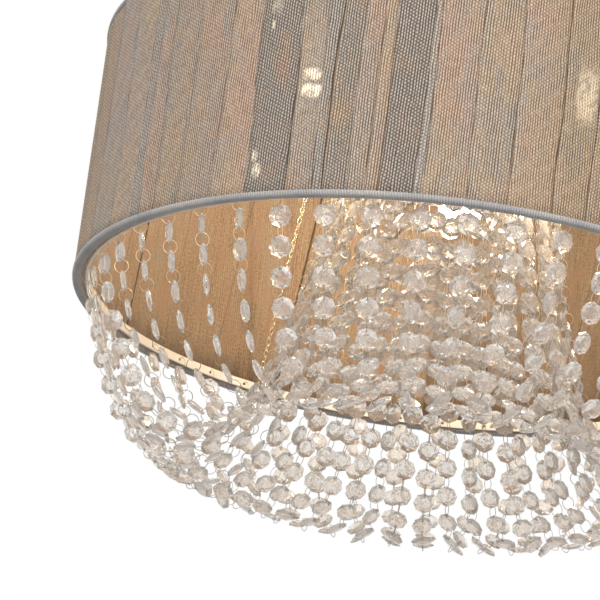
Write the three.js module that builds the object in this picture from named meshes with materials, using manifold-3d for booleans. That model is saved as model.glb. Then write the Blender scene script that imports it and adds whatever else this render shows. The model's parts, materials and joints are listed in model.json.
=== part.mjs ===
// Drum chandelier: a thread-covered drum shade with loops of crystal beads hung from its lower rim.
// Millimetres, +Z up. The origin is the middle of the face that meets the ceiling.
// Azimuth 0 looks along -Y from the middle, and azimuth 90 along +X.
import * as THREE from "three";
import { mergeVertices } from "three/addons/utils/BufferGeometryUtils.js";
import Module from "manifold-3d";

// Driving sizes of the shade
const gap = 0.3; // left between pieces that touch
const shadeRadius = 250;
const shadeHeight = 181;
const shadeDrop = 170; // from the ceiling to the shade's upper edge
const shadeFacets = 48;
const wrapThickness = 0.8; // the binding round each ring
const wrapLip = 4.5;
const threadThickness = 0.9; // outer layer at a lap
const threadLap = 0.4; // how far one panel stands over the next
const liningThickness = 0.8;
const ringWire = 2.4;
const strutRadius = 1.1;
const strutCount = 6;

// Driving sizes of the crystal loops
const bandHeight = 6;
const bandThickness = 0.9;
const bandRise = 2; // of the band's lower edge above the rim's
const bandFlange = 3.1; // reaches out from the band's foot to the binding
const hookReach = 0.4; // from the band's face to a loop's start
const hookRise = 0.3; // of a loop's start above the band's lower edge
const loopCount = 48;
const beadCount = 22;
const outerBeadCount = 7; // beads before a loop's lowest point
const beadSize = 14;
const beadThickness = 7;
const beadGap = 5.73; // spanned by one wire ring
const linkThickness = 1.8;
const endLinkLength = 3.6; // beyond the first and last beads
const crystalRingRadius = 66;
const crystalRingDrop = 20.8; // below the hub's floor
const crystalRingWire = 3.6;

// Driving sizes of the frame inside the shade
const armRadius = 2.5;
const armCount = 3;
const firstArmAzimuth = -149;
const stayTopRadius = 196; // where a stay chain hangs from its arm
const chainWidth = 2.2;
const hubRadius = 38;
const hubHeight = 26;
const hubRise = 19; // of the hub's top above the shade's upper edge
const hubWall = 1.5;
const hubShoulder = 3;
const floorThickness = 2.4;
const bracketWidth = 8;
const bracketThickness = 2;
const bracketInset = 14; // from the hub's edge to the bracket's inner end

// Driving sizes of the lamps
const lampCount = 3;
const firstLampAzimuth = -65.4;
const lampCircle = 112; // radius
const lampArmRadius = 3.5;
const lampArmBend = 9;
const lampArmDepth = 8; // below the hub's top
const holderRadius = 13;
const holderNeckRadius = 8;
const holderLength = 20;
const holderWall = 5.2;
const holderBoreDepth = 15;
const lampClearance = 0.6;
const lampCapLength = 17;
const bulbRadius = 17;
const bulbLength = 45;

// Driving sizes of the stem, the swivel and the ceiling fitting
const stemRadius = 6.5;
const stemWall = 1.5;
const nutRadius = 10;
const nutHeight = 6;
const barWidth = 28;
const barLength = 100;
const barThickness = 3;
const bossRadius = 9;
const bossHeight = 6;
const slotWidth = 5;
const slotLength = 14;
const slotInset = 16; // from the bar's end to the slot's middle
const barCorner = 5;
const strapCorner = 2;
const canopyRadius = 60;
const canopyDepth = 30;
const canopyWall = 1.2;
const canopyShoulder = 6;
const studRadius = 2;
const studSpread = 22; // from the middle to a stud
const capNutRadius = 4.5;
const capNutHeight = 8;
const capNutTipRadius = 2.2;
const nippleRadius = 4.8;
const nippleWall = 1.4;
const collarRadius = 11;
const collarHeight = 5;
const collarTaper = 1.7;
const forkWidth = 26;
const forkDepth = 18;
const forkTop = 5;
const forkCorner = 3;
const cheekThickness = 4;
const pivotDrop = 25; // from the fork's underside to the pivot
const knuckleRadius = 8;
const pivotRadius = 3;
const pivotClearance = 0.3;
const screwHeadRadius = 5.5;
const screwHeadHeight = 3.5;
const neckRadius = 6.5;
const socketRadius = 9.5;
const neckLength = 6; // from the cheeks' ends to the socket
const socketLength = 18;
const socketDepth = 13;
const terminalLength = 30;
const terminalWidth = 14;
const terminalHeight = 12;
const terminalCorner = 2;

// Heights, worked out downwards from the ceiling
const shadeTop = -shadeDrop;
const shadeBottom = shadeTop - shadeHeight;
const hubTop = shadeTop + hubRise;
const hubBottom = hubTop - hubHeight;
const floorBottom = hubBottom - gap - floorThickness;
const armHeight = shadeTop - wrapLip / 2;
const crystalRingHeight = floorBottom - crystalRingDrop;
const bandBottom = shadeBottom + bandRise;
const bandTop = bandBottom + bandHeight;
const canopyBottom = -canopyDepth;
const collarTop = canopyBottom - gap;
const forkTopHeight = collarTop - collarHeight - gap;
const forkUnderside = forkTopHeight - forkTop;
const nippleBottom = forkUnderside - gap - nutHeight;
const pivotHeight = forkUnderside - pivotDrop;
const cheekRadius = knuckleRadius + gap;
const socketTop = pivotHeight - cheekRadius - neckLength;
const socketBottom = socketTop - socketLength;
const stemTop = socketBottom + socketDepth;
const stemHole = stemRadius + gap;
const cupSlope = hubShoulder / (hubRadius - hubWall - stemHole);
const stemNutTop = hubTop - hubWall - gap - (nutRadius - stemHole) * cupSlope;
const stemBottom = stemNutTop - nutHeight - stemWall;

// Radii through the shade's wall, worked out inwards from its outside
const threadOuterRadius = shadeRadius - wrapThickness - gap;
const threadInnerRadius = threadOuterRadius - threadThickness;
const wireOuterRadius = threadInnerRadius - gap;
const wireMiddleRadius = wireOuterRadius - ringWire / 2;
const wireInnerRadius = wireOuterRadius - ringWire;
const liningOuterRadius = wireInnerRadius - gap;
const liningInnerRadius = liningOuterRadius - liningThickness;
const lipOuterRadius = liningInnerRadius - gap;
const wrapInnerRadius = lipOuterRadius - wrapThickness;
const flangeRadius = wrapInnerRadius - gap;
const bandOuterRadius = flangeRadius - bandFlange;
const bandInnerRadius = bandOuterRadius - bandThickness;
const bandMiddleRadius = (bandInnerRadius + bandOuterRadius) / 2;
const facetShare = Math.cos(Math.PI / shadeFacets); // a facet's middle lies nearer than its corners

const overrun = 2; // past a face, for cuts

const colours = {
  gold: new THREE.MeshStandardMaterial({ color: 0xd8b878, roughness: 0.3, metalness: 0.9 }),
  nickel: new THREE.MeshStandardMaterial({ color: 0xc9c3b8, roughness: 0.3, metalness: 0.9 }),
  thread: new THREE.MeshStandardMaterial({ color: 0x9a9088, roughness: 0.9, metalness: 0 }),
  lining: new THREE.MeshStandardMaterial({ color: 0xb08a55, roughness: 0.85, metalness: 0 }),
  crystal: new THREE.MeshStandardMaterial({ color: 0xf2ece4, roughness: 0.08, metalness: 0 }),
  holder: new THREE.MeshStandardMaterial({ color: 0xf4efe4, roughness: 0.5, metalness: 0 }),
  lamp: new THREE.MeshStandardMaterial({ color: 0xffe6bd, roughness: 0.2, metalness: 0 }),
};

const wasm = await Module();
wasm.setup();

// Closed geometry to solid and back, for cuts and joins
function solidOf(geometry) {
  const plain = geometry.clone();
  plain.deleteAttribute("normal");
  plain.deleteAttribute("uv");
  const merged = mergeVertices(plain);
  const vertProperties = merged.attributes.position.array;
  const triVerts = new Uint32Array(merged.index.array);
  return new wasm.Manifold(new wasm.Mesh({ numProp: 3, vertProperties, triVerts }));
}

function geometryOf(solid) {
  const mesh = solid.getMesh();
  const geometry = new THREE.BufferGeometry();
  geometry.setAttribute("position", new THREE.BufferAttribute(mesh.vertProperties, mesh.numProp));
  geometry.setIndex(new THREE.BufferAttribute(mesh.triVerts, 1));
  geometry.computeVertexNormals();
  return geometry;
}

function cut(geometry, tools) {
  return geometryOf(tools.reduce((solid, tool) => solid.subtract(solidOf(tool)), solidOf(geometry)));
}

function joined(geometries) {
  return geometryOf(geometries.map(solidOf).reduce((whole, piece) => whole.add(piece)));
}

// Basic forms
function turned(outline, segments) {
  const profile = outline.map(([radius, height]) => new THREE.Vector2(radius, height));
  const geometry = new THREE.LatheGeometry(profile, segments);
  geometry.rotateX(Math.PI / 2);
  return geometry;
}

function hoop(innerRadius, outerRadius, bottom, top, segments) {
  const outline = [
    [innerRadius, bottom],
    [outerRadius, bottom],
    [outerRadius, top],
    [innerRadius, top],
    [innerRadius, bottom],
  ];
  return turned(outline, segments);
}

function post(radius, bottom, top, sides) {
  const geometry = new THREE.CylinderGeometry(radius, radius, top - bottom, sides);
  geometry.rotateX(Math.PI / 2);
  geometry.translate(0, 0, (top + bottom) / 2);
  return geometry;
}

function rodAlongX(radius, from, to, height, sides) {
  const geometry = new THREE.CylinderGeometry(radius, radius, to - from, sides);
  geometry.rotateZ(Math.PI / 2);
  geometry.translate((from + to) / 2, 0, height);
  return geometry;
}

function slab(shape, bottom, thickness, curveSegments = 3) {
  const geometry = new THREE.ExtrudeGeometry(shape, {
    depth: thickness,
    bevelEnabled: false,
    curveSegments,
  });
  geometry.translate(0, 0, bottom);
  return geometry;
}

function roundedRectangle(length, width, corner) {
  const shape = new THREE.Shape();
  const x = length / 2;
  const y = width / 2;
  shape.moveTo(-x + corner, -y);
  shape.lineTo(x - corner, -y);
  shape.absarc(x - corner, -y + corner, corner, -Math.PI / 2, 0);
  shape.lineTo(x, y - corner);
  shape.absarc(x - corner, y - corner, corner, 0, Math.PI / 2);
  shape.lineTo(-x + corner, y);
  shape.absarc(-x + corner, y - corner, corner, Math.PI / 2, Math.PI);
  shape.lineTo(-x, -y + corner);
  shape.absarc(-x + corner, -y + corner, corner, Math.PI, (3 * Math.PI) / 2);
  return shape;
}

function hexNut(boreRadius, cornerRadius, bottom, height) {
  const shape = new THREE.Shape();
  for (let corner = 0; corner < 6; corner++) {
    const angle = (corner * Math.PI) / 3;
    const x = cornerRadius * Math.cos(angle);
    const y = cornerRadius * Math.sin(angle);
    if (corner === 0) shape.moveTo(x, y);
    else shape.lineTo(x, y);
  }
  shape.closePath();
  const bore = new THREE.Path();
  bore.absarc(0, 0, boreRadius, 0, 2 * Math.PI);
  shape.holes.push(bore);
  return slab(shape, bottom, height, 6);
}

// A point at a radius and azimuth, and the turn that brings +X to that azimuth
function pointAt(radius, azimuth, height) {
  const angle = THREE.MathUtils.degToRad(azimuth);
  return new THREE.Vector3(radius * Math.sin(angle), -radius * Math.cos(angle), height);
}

function turnTo(azimuth) {
  return THREE.MathUtils.degToRad(azimuth - 90);
}

// A straight round bar between two points
function barBetween(start, end, radius, sides) {
  const geometry = new THREE.CylinderGeometry(radius, radius, start.distanceTo(end), sides);
  const along = end.clone().sub(start).normalize();
  const turn = new THREE.Quaternion().setFromUnitVectors(new THREE.Vector3(0, 1, 0), along);
  geometry.applyQuaternion(turn);
  const middle = start.clone().add(end).divideScalar(2);
  geometry.translate(middle.x, middle.y, middle.z);
  return geometry;
}

// Rings of points joined into one closed skin, with a fan on each end
function skinned(rings) {
  const sides = rings[0].length;
  const positions = rings.flat().flatMap((point) => [point.x, point.y, point.z]);
  const faces = [];
  for (let ring = 0; ring + 1 < rings.length; ring++) {
    for (let side = 0; side < sides; side++) {
      const here = ring * sides + side;
      const beside = ring * sides + ((side + 1) % sides);
      faces.push(here, beside + sides, beside, here, here + sides, beside + sides);
    }
  }
  const last = (rings.length - 1) * sides;
  for (let side = 1; side + 1 < sides; side++) {
    faces.push(0, side, side + 1);
    faces.push(last, last + side + 1, last + side);
  }
  const geometry = new THREE.BufferGeometry();
  geometry.setAttribute("position", new THREE.Float32BufferAttribute(positions, 3));
  geometry.setIndex(faces);
  return geometry;
}

// The hanging curve of one loop, from its hook on the band to its hook on the crystal ring
const loopStart = { radius: bandInnerRadius - hookReach, height: bandBottom + hookRise };
const loopEnd = { radius: crystalRingRadius, height: crystalRingHeight };
const beadPitch = beadSize + beadGap;
const loopLength = beadCount * beadPitch - beadGap + 2 * endLinkLength;

// The catenary's scale is found by halving the span between a very slack and a very taut one
const slackestShare = 1 / 40;
const tautestShare = 40;
const halvingCount = 60;

function hangingCurve(start, end, length) {
  const across = start.radius - end.radius;
  const rise = end.height - start.height;
  const chord = Math.sqrt(length * length - rise * rise);
  let low = across * slackestShare;
  let high = across * tautestShare;
  for (let step = 0; step < halvingCount; step++) {
    const middle = (low + high) / 2;
    if (2 * middle * Math.sinh(across / (2 * middle)) > chord) low = middle;
    else high = middle;
  }
  const scale = (low + high) / 2;
  const lean = Math.atanh(rise / length);
  const startShare = -(across / (2 * scale)) + lean;
  const lowestRadius = start.radius + startShare * scale;
  const lowestHeight = start.height - scale * (Math.cosh(startShare) - 1);
  const startLength = scale * Math.sinh(startShare);
  return (distance) => {
    const share = Math.asinh((startLength + distance) / scale);
    const slope = Math.sinh(share);
    const steepness = Math.sqrt(1 + slope * slope);
    return {
      radius: lowestRadius - scale * share,
      height: lowestHeight + scale * (Math.cosh(share) - 1),
      inward: 1 / steepness,
      upward: slope / steepness,
    };
  };
}

const loopCurve = hangingCurve(loopStart, loopEnd, loopLength);

// Part of a loop in the plane of azimuth 90: beads as flat lozenges with thin links between
const sectionFacets = 3;

function beadChain(azimuth, firstBead, lastBead, start, end, acrossHalf, alongHalf) {
  const link = linkThickness / 2;
  const stations = [{ spot: start, across: link, along: link }];
  for (let bead = firstBead; bead <= lastBead; bead++) {
    const middle = endLinkLength + beadSize / 2 + bead * beadPitch;
    stations.push({ spot: loopCurve(middle), across: acrossHalf, along: alongHalf });
    const next = bead < lastBead ? loopCurve(middle + beadPitch / 2) : end;
    stations.push({ spot: next, across: link, along: link });
  }
  const rings = stations.map(({ spot, across, along }) =>
    Array.from({ length: sectionFacets }, (_, side) => {
      const angle = (2 * Math.PI * side) / sectionFacets;
      const sideways = -across * Math.sin(angle);
      const outward = along * Math.cos(angle);
      const radius = spot.radius + outward * spot.upward;
      const point = pointAt(radius, azimuth, spot.height + outward * spot.inward);
      return point.add(pointAt(sideways, azimuth + 90, 0));
    }),
  );
  return skinned(rings);
}

function loopAzimuths() {
  const step = 360 / loopCount;
  return Array.from({ length: loopCount }, (_, loop) => step * (loop + 1 / 2));
}

const splitDistance = endLinkLength + outerBeadCount * beadPitch - beadGap / 2;

// The rim band, with a flange out to the binding, and the outer part of every loop
function crystalBand() {
  const outline = [
    [bandInnerRadius, bandBottom],
    [flangeRadius, bandBottom],
    [flangeRadius, bandBottom + bandThickness],
    [bandOuterRadius, bandBottom + bandThickness],
    [bandOuterRadius, bandTop],
    [bandInnerRadius, bandTop],
    [bandInnerRadius, bandBottom],
  ];
  const band = turned(outline, shadeFacets);
  const hookHeight = bandBottom + bandHeight / 2;
  const start = { radius: bandMiddleRadius * facetShare, height: hookHeight, inward: 1, upward: 0 };
  const end = loopCurve(splitDistance - gap / 2);
  const chains = loopAzimuths().map((azimuth) =>
    beadChain(azimuth, 0, outerBeadCount - 1, start, end, beadSize / 2, beadThickness / 2),
  );
  return joined([band, ...chains]);
}

// The inner ring with the rest of every loop, its beads turned edge on where they crowd
function crystalRing() {
  const wire = crystalRingWire / 2;
  const bottom = crystalRingHeight - wire;
  const ring = hoop(
    crystalRingRadius - wire,
    crystalRingRadius + wire,
    bottom,
    bottom + crystalRingWire,
    loopCount / 2,
  );
  const start = loopCurve(splitDistance + gap / 2);
  const end = loopCurve(loopLength);
  end.radius *= Math.cos(Math.PI / loopCount);
  const chains = loopAzimuths().map((azimuth) =>
    beadChain(azimuth, outerBeadCount, beadCount - 1, start, end, beadThickness / 2, beadSize / 2),
  );
  return joined([ring, ...chains]);
}

// The binding round a ring: a channel that takes the ring and both thread layers
function wrap(edge, inwards) {
  const lip = edge + inwards * wrapLip;
  const floor = edge + inwards * wrapThickness;
  const outline = [
    [wrapInnerRadius, edge],
    [shadeRadius, edge],
    [shadeRadius, lip],
    [threadOuterRadius + gap, lip],
    [threadOuterRadius + gap, floor],
    [lipOuterRadius, floor],
    [lipOuterRadius, lip],
    [wrapInnerRadius, lip],
    [wrapInnerRadius, edge],
  ];
  return turned(inwards > 0 ? outline : outline.reverse(), shadeFacets);
}

const wireInset = wrapThickness + gap;

function ringOfWire(bottom) {
  return hoop(wireInnerRadius, wireOuterRadius, bottom, bottom + ringWire, shadeFacets);
}

// The outer layer of threads: panels side by side, each lapped over the edge of the next
function threadPanels() {
  const bottom = shadeBottom + wireInset;
  const height = shadeHeight - 2 * wireInset;
  const shape = new THREE.Shape();
  const step = (2 * Math.PI) / shadeFacets;
  for (let panel = 0; panel < shadeFacets; panel++) {
    const start = panel * step;
    const end = start + step;
    const low = threadOuterRadius - threadLap;
    if (panel === 0) shape.moveTo(threadOuterRadius, 0);
    else shape.lineTo(threadOuterRadius * Math.cos(start), threadOuterRadius * Math.sin(start));
    shape.lineTo(low * Math.cos(end), low * Math.sin(end));
  }
  shape.closePath();
  const inside = new THREE.Path();
  for (let corner = 0; corner < shadeFacets; corner++) {
    const angle = -corner * step;
    const x = threadInnerRadius * Math.cos(angle);
    const y = threadInnerRadius * Math.sin(angle);
    if (corner === 0) inside.moveTo(x, y);
    else inside.lineTo(x, y);
  }
  inside.closePath();
  shape.holes.push(inside);
  return slab(shape, bottom, height);
}

function liningThreads() {
  const bottom = shadeBottom + wireInset;
  const top = shadeTop - wireInset;
  return hoop(liningInnerRadius, liningOuterRadius, bottom, top, shadeFacets);
}

function strut(azimuth) {
  const bottom = shadeBottom + wireInset + ringWire + gap;
  const top = shadeTop - wireInset - ringWire - gap;
  const geometry = post(strutRadius, bottom, top, 6);
  const foot = pointAt(wireMiddleRadius, azimuth, 0);
  geometry.translate(foot.x, foot.y, 0);
  return geometry;
}

// The hub: a cup under the stem, closed by a floor
function hubCup() {
  const outline = [
    [stemHole, hubTop - hubWall],
    [hubRadius - hubWall, hubTop - hubWall - hubShoulder],
    [hubRadius - hubWall, hubBottom],
    [hubRadius, hubBottom],
    [hubRadius, hubTop - hubShoulder],
    [hubRadius - hubShoulder, hubTop],
    [stemHole, hubTop],
    [stemHole, hubTop - hubWall],
  ];
  return turned(outline, 16);
}

function hubFloor() {
  const top = hubBottom - gap;
  const outline = [
    [0, floorBottom],
    [hubRadius - floorThickness, floorBottom],
    [hubRadius, top - floorThickness / 2],
    [hubRadius, top],
    [0, top],
  ];
  return turned(outline, 16);
}

function spiderArm() {
  const outer = wrapInnerRadius * facetShare - gap;
  return rodAlongX(armRadius, hubRadius + gap, outer, armHeight, 8);
}

function stayChain() {
  const half = chainWidth / 2;
  const footRadius = bandMiddleRadius * facetShare - half;
  const head = armHeight - armRadius - gap;
  const foot = bandTop + gap;
  const tilt = Math.atan2(footRadius - stayTopRadius, head - foot);
  const rise = half * Math.sin(tilt);
  const top = new THREE.Vector3(stayTopRadius, 0, head - rise);
  const bottom = new THREE.Vector3(footRadius, 0, foot + rise);
  return barBetween(bottom, top, half, 6);
}

// A bent strap from the hub's floor out and down to the crystal ring
function ringBracket() {
  const top = floorBottom - gap;
  const bottom = crystalRingHeight + crystalRingWire / 2 + gap;
  const inner = hubRadius - bracketInset;
  const outer = crystalRingRadius + bracketThickness / 2;
  const shape = new THREE.Shape();
  shape.moveTo(inner, top - bracketThickness);
  shape.lineTo(outer - bracketThickness, top - bracketThickness);
  shape.lineTo(outer - bracketThickness, bottom);
  shape.lineTo(outer, bottom);
  shape.lineTo(outer, top);
  shape.lineTo(inner, top);
  shape.closePath();
  const geometry = slab(shape, -bracketWidth / 2, bracketWidth);
  geometry.rotateX(Math.PI / 2);
  return geometry;
}

// A lamp arm runs out from the hub and turns down into its lampholder
const lampArmHeight = hubTop - lampArmDepth;
const lampArmEnd = lampArmHeight - lampArmBend;
const holderTop = lampArmEnd - gap;
const holderBottom = holderTop - holderLength;

function lampArm() {
  const height = lampArmHeight;
  const corner = new THREE.Vector3(lampCircle, 0, height);
  const bendStart = new THREE.Vector3(lampCircle - lampArmBend, 0, height);
  const bendEnd = new THREE.Vector3(lampCircle, 0, lampArmEnd);
  const path = new THREE.CurvePath();
  path.add(new THREE.LineCurve3(new THREE.Vector3(hubRadius + gap, 0, height), bendStart));
  path.add(new THREE.QuadraticBezierCurve3(bendStart, corner, bendEnd));
  const section = new THREE.Shape();
  section.absarc(0, 0, lampArmRadius, 0, 2 * Math.PI);
  return new THREE.ExtrudeGeometry(section, {
    steps: 9,
    curveSegments: 3,
    bevelEnabled: false,
    extrudePath: path,
  });
}

function lampholder() {
  const bore = holderRadius - holderWall;
  const outline = [
    [0, holderBottom + holderBoreDepth],
    [bore, holderBottom + holderBoreDepth],
    [bore, holderBottom],
    [holderRadius, holderBottom],
    [holderRadius, holderTop - holderLength / 4],
    [holderNeckRadius, holderTop],
    [0, holderTop],
  ];
  return turned(outline, 12);
}

function lamp() {
  const capRadius = holderRadius - holderWall - lampClearance;
  const capTop = holderBottom + holderBoreDepth - gap;
  const neck = capTop - lampCapLength;
  const tip = neck - bulbLength;
  const bulbShares = [
    [0, 1],
    [0.45, 0.95],
    [0.8, 0.8],
    [1, 0.58],
    [0.92, 0.36],
    [0.62, 0.14],
  ];
  const glass = bulbShares.map(([wide, down]) => [wide * bulbRadius, neck - down * (neck - tip)]);
  return turned([...glass, [capRadius, neck], [capRadius, capTop], [0, capTop]], 12);
}

// The stem hangs from the swivel's socket and is held in the hub by its nut
function stem() {
  return hoop(stemRadius - stemWall, stemRadius, stemBottom, stemTop - gap, 12);
}

function stemNut() {
  return hexNut(stemHole, nutRadius, stemNutTop - nutHeight, nutHeight);
}

// The tongue: a cross barrel on the pivot, a neck, and the socket that takes the stem
const cheekGap = forkWidth - 2 * cheekThickness;

function swivelTongue() {
  const half = cheekGap / 2 - gap;
  const barrel = rodAlongX(knuckleRadius, -half, half, pivotHeight, 14);
  const neck = post(neckRadius, socketTop - overrun, pivotHeight, 12);
  const socket = turned(
    [
      [0, socketBottom],
      [socketRadius, socketBottom],
      [socketRadius, socketTop - socketRadius + neckRadius],
      [neckRadius, socketTop],
      [0, socketTop],
    ],
    12,
  );
  const bore = post(stemHole, socketBottom - overrun, stemTop, 12);
  const pivotHole = rodAlongX(pivotRadius + pivotClearance, -forkWidth, forkWidth, pivotHeight, 12);
  return cut(joined([barrel, neck, socket]), [bore, pivotHole]);
}

// The fork: a top plate round the nipple and two cheeks that take the pivot
function cheek(side) {
  const shape = new THREE.Shape();
  const half = forkDepth / 2;
  shape.moveTo(half, forkTopHeight);
  shape.lineTo(-half, forkTopHeight);
  shape.lineTo(-half, pivotHeight);
  shape.absarc(0, pivotHeight, half, Math.PI, 2 * Math.PI);
  shape.closePath();
  const geometry = slab(shape, 0, cheekThickness);
  geometry.rotateX(Math.PI / 2);
  geometry.rotateZ(Math.PI / 2);
  const inner = cheekGap / 2;
  geometry.translate(side > 0 ? inner : -inner - cheekThickness, 0, 0);
  return geometry;
}

function swivelFork() {
  const plate = slab(roundedRectangle(forkWidth, forkDepth, forkCorner), forkUnderside, forkTop);
  const nippleHole = post(nippleRadius + gap, forkUnderside - overrun, forkTopHeight + overrun, 12);
  const pivotHole = rodAlongX(pivotRadius + pivotClearance, -forkWidth, forkWidth, pivotHeight, 12);
  return cut(joined([plate, cheek(1), cheek(-1)]), [nippleHole, pivotHole]);
}

function pivotScrew() {
  const face = forkWidth / 2 + gap;
  const end = face + nutHeight;
  const shank = rodAlongX(pivotRadius, -face - screwHeadHeight / 2, end, pivotHeight, 12);
  const head = rodAlongX(screwHeadRadius, -face - screwHeadHeight, -face, pivotHeight, 12);
  return joined([head, shank]);
}

function pivotNut() {
  const face = forkWidth / 2 + gap;
  const geometry = hexNut(pivotRadius + gap, screwHeadRadius, face, nutHeight - gap);
  geometry.rotateY(Math.PI / 2);
  geometry.translate(0, 0, pivotHeight);
  return geometry;
}

// The ceiling fitting
function ceilingBar() {
  const shape = roundedRectangle(barLength, barWidth, barCorner);
  for (const side of [-1, 1]) {
    const middle = side * (barLength / 2 - slotInset);
    const half = (slotLength - slotWidth) / 2;
    const slot = new THREE.Path();
    slot.absarc(middle + half, 0, slotWidth / 2, -Math.PI / 2, Math.PI / 2);
    slot.absarc(middle - half, 0, slotWidth / 2, Math.PI / 2, (3 * Math.PI) / 2);
    shape.holes.push(slot);
  }
  const plate = slab(shape, -barThickness, barThickness);
  const boss = post(bossRadius, -barThickness - bossHeight, -barThickness / 2, 12);
  const thread = post(nippleRadius + gap, -barThickness - bossHeight - overrun, -barThickness, 12);
  return cut(joined([plate, boss]), [thread]);
}

function hangerNipple() {
  return hoop(nippleRadius - nippleWall, nippleRadius, nippleBottom, -barThickness - gap, 12);
}

function canopy() {
  const hole = nippleRadius + gap;
  const shoulder = canopyBottom + canopyShoulder;
  const outline = [
    [hole, canopyBottom],
    [canopyRadius - canopyShoulder, canopyBottom],
    [canopyRadius, shoulder],
    [canopyRadius, -gap],
    [canopyRadius - canopyWall, -gap],
    [canopyRadius - canopyWall, shoulder],
    [canopyRadius - canopyShoulder - canopyWall / 2, canopyBottom + canopyWall],
    [hole, canopyBottom + canopyWall],
    [hole, canopyBottom],
  ];
  const holes = [-1, 1].map((side) => {
    const tool = post(studRadius + gap, canopyBottom - overrun, canopyBottom + canopyShoulder, 8);
    tool.translate(0, side * studSpread, 0);
    return tool;
  });
  return cut(turned(outline, 24), holes);
}

// Two straps beside the bar carry the studs that hold the canopy
function studStrap(side) {
  const edge = barWidth / 2 + gap;
  const shape = roundedRectangle(2 * bossRadius, 2 * (studSpread - edge), strapCorner);
  const strap = slab(shape, -barThickness, barThickness);
  const end = canopyBottom - capNutHeight / 2;
  const stud = post(studRadius, end, -barThickness / 2, 8);
  return joined([strap, stud]).translate(0, side * studSpread, 0);
}

function capNut(side) {
  const top = canopyBottom - gap;
  const bore = studRadius + gap;
  const outline = [
    [bore, top - capNutHeight / 2 - gap],
    [bore, top],
    [capNutRadius, top],
    [capNutRadius, top - capNutHeight / 2],
    [capNutTipRadius, top - capNutHeight],
    [0, top - capNutHeight],
    [0, top - capNutHeight / 2 - gap],
    [bore, top - capNutHeight / 2 - gap],
  ];
  return turned(outline.reverse(), 8).translate(0, side * studSpread, 0);
}

function canopyCollar() {
  const middle = collarTop - collarHeight / 2;
  const outline = [
    [nippleRadius + gap, collarTop - collarHeight],
    [collarRadius - collarTaper, collarTop - collarHeight],
    [collarRadius, middle],
    [collarRadius, collarTop],
    [nippleRadius + gap, collarTop],
    [nippleRadius + gap, collarTop - collarHeight],
  ];
  return turned(outline, 12);
}

function nippleNut() {
  const height = nutHeight - gap;
  return hexNut(nippleRadius + gap, cheekGap / 2 - gap, forkUnderside - gap - height, height);
}

function terminalBlock() {
  const shape = roundedRectangle(terminalLength, terminalWidth, terminalCorner);
  for (const place of [-1, 0, 1]) {
    const hole = new THREE.Path();
    hole.absarc((place * terminalLength) / 3, 0, studRadius, 0, 2 * Math.PI);
    shape.holes.push(hole);
  }
  const geometry = slab(shape, -barThickness - gap - terminalHeight, terminalHeight);
  const place = barLength / 2 - slotInset - slotLength / 2 - terminalWidth / 2 + gap;
  geometry.rotateZ(Math.PI / 2);
  return geometry.translate(place, 0, 0);
}

const chandelier = new THREE.Group();

function add(name, geometry, material, azimuth) {
  const mesh = new THREE.Mesh(geometry, material);
  mesh.name = name;
  if (azimuth !== undefined) mesh.rotation.z = turnTo(azimuth);
  chandelier.add(mesh);
}

function eachAround(count, firstAzimuth, place) {
  for (let copy = 0; copy < count; copy++) place(copy + 1, firstAzimuth + (360 / count) * copy);
}

// Fixed to the ceiling
add("ceiling_bar", ceilingBar(), colours.nickel);
add("canopy_stud_front", studStrap(-1), colours.nickel);
add("canopy_stud_back", studStrap(1), colours.nickel);
add("terminal_block", terminalBlock(), colours.holder);
add("hanger_nipple", hangerNipple(), colours.nickel);
add("canopy", canopy(), colours.gold);
add("cap_nut_front", capNut(-1), colours.gold);
add("cap_nut_back", capNut(1), colours.gold);
add("canopy_collar", canopyCollar(), colours.gold);
add("nipple_nut", nippleNut(), colours.nickel);

// Turns on the nipple
add("swivel_fork", swivelFork(), colours.gold);
add("pivot_screw", pivotScrew(), colours.gold);
add("pivot_nut", pivotNut(), colours.gold);

// Tilts on the pivot
add("swivel_tongue", swivelTongue(), colours.gold);
add("stem", stem(), colours.gold);
add("stem_nut", stemNut(), colours.nickel);
add("hub_cup", hubCup(), colours.gold);
add("hub_floor", hubFloor(), colours.gold);
eachAround(armCount, firstArmAzimuth, (number, azimuth) => {
  add(`spider_arm_${number}`, spiderArm(), colours.gold, azimuth);
  add(`stay_chain_${number}`, stayChain(), colours.gold, azimuth);
  add(`ring_bracket_${number}`, ringBracket(), colours.gold, azimuth);
});
eachAround(lampCount, firstLampAzimuth, (number, azimuth) => {
  add(`lamp_arm_${number}`, lampArm(), colours.gold, azimuth);
  const lampholderMesh = lampholder().translate(lampCircle, 0, 0);
  add(`lampholder_${number}`, lampholderMesh, colours.holder, azimuth);
  add(`lamp_${number}`, lamp().translate(lampCircle, 0, 0), colours.lamp, azimuth);
});
add("top_ring", ringOfWire(shadeTop - wireInset - ringWire), colours.nickel);
add("bottom_ring", ringOfWire(shadeBottom + wireInset), colours.nickel);
eachAround(strutCount, 0, (number, azimuth) => {
  add(`shade_strut_${number}`, strut(azimuth), colours.nickel);
});
add("thread_panels", threadPanels(), colours.thread);
add("lining_threads", liningThreads(), colours.lining);
add("top_binding", wrap(shadeTop, -1), colours.thread);
add("bottom_binding", wrap(shadeBottom, 1), colours.thread);
add("crystal_band", crystalBand(), colours.crystal);
add("crystal_ring", crystalRing(), colours.crystal);

export default chandelier;
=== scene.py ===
import json
import math
import random

import bmesh
import bpy
from mathutils import Matrix, Vector


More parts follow.
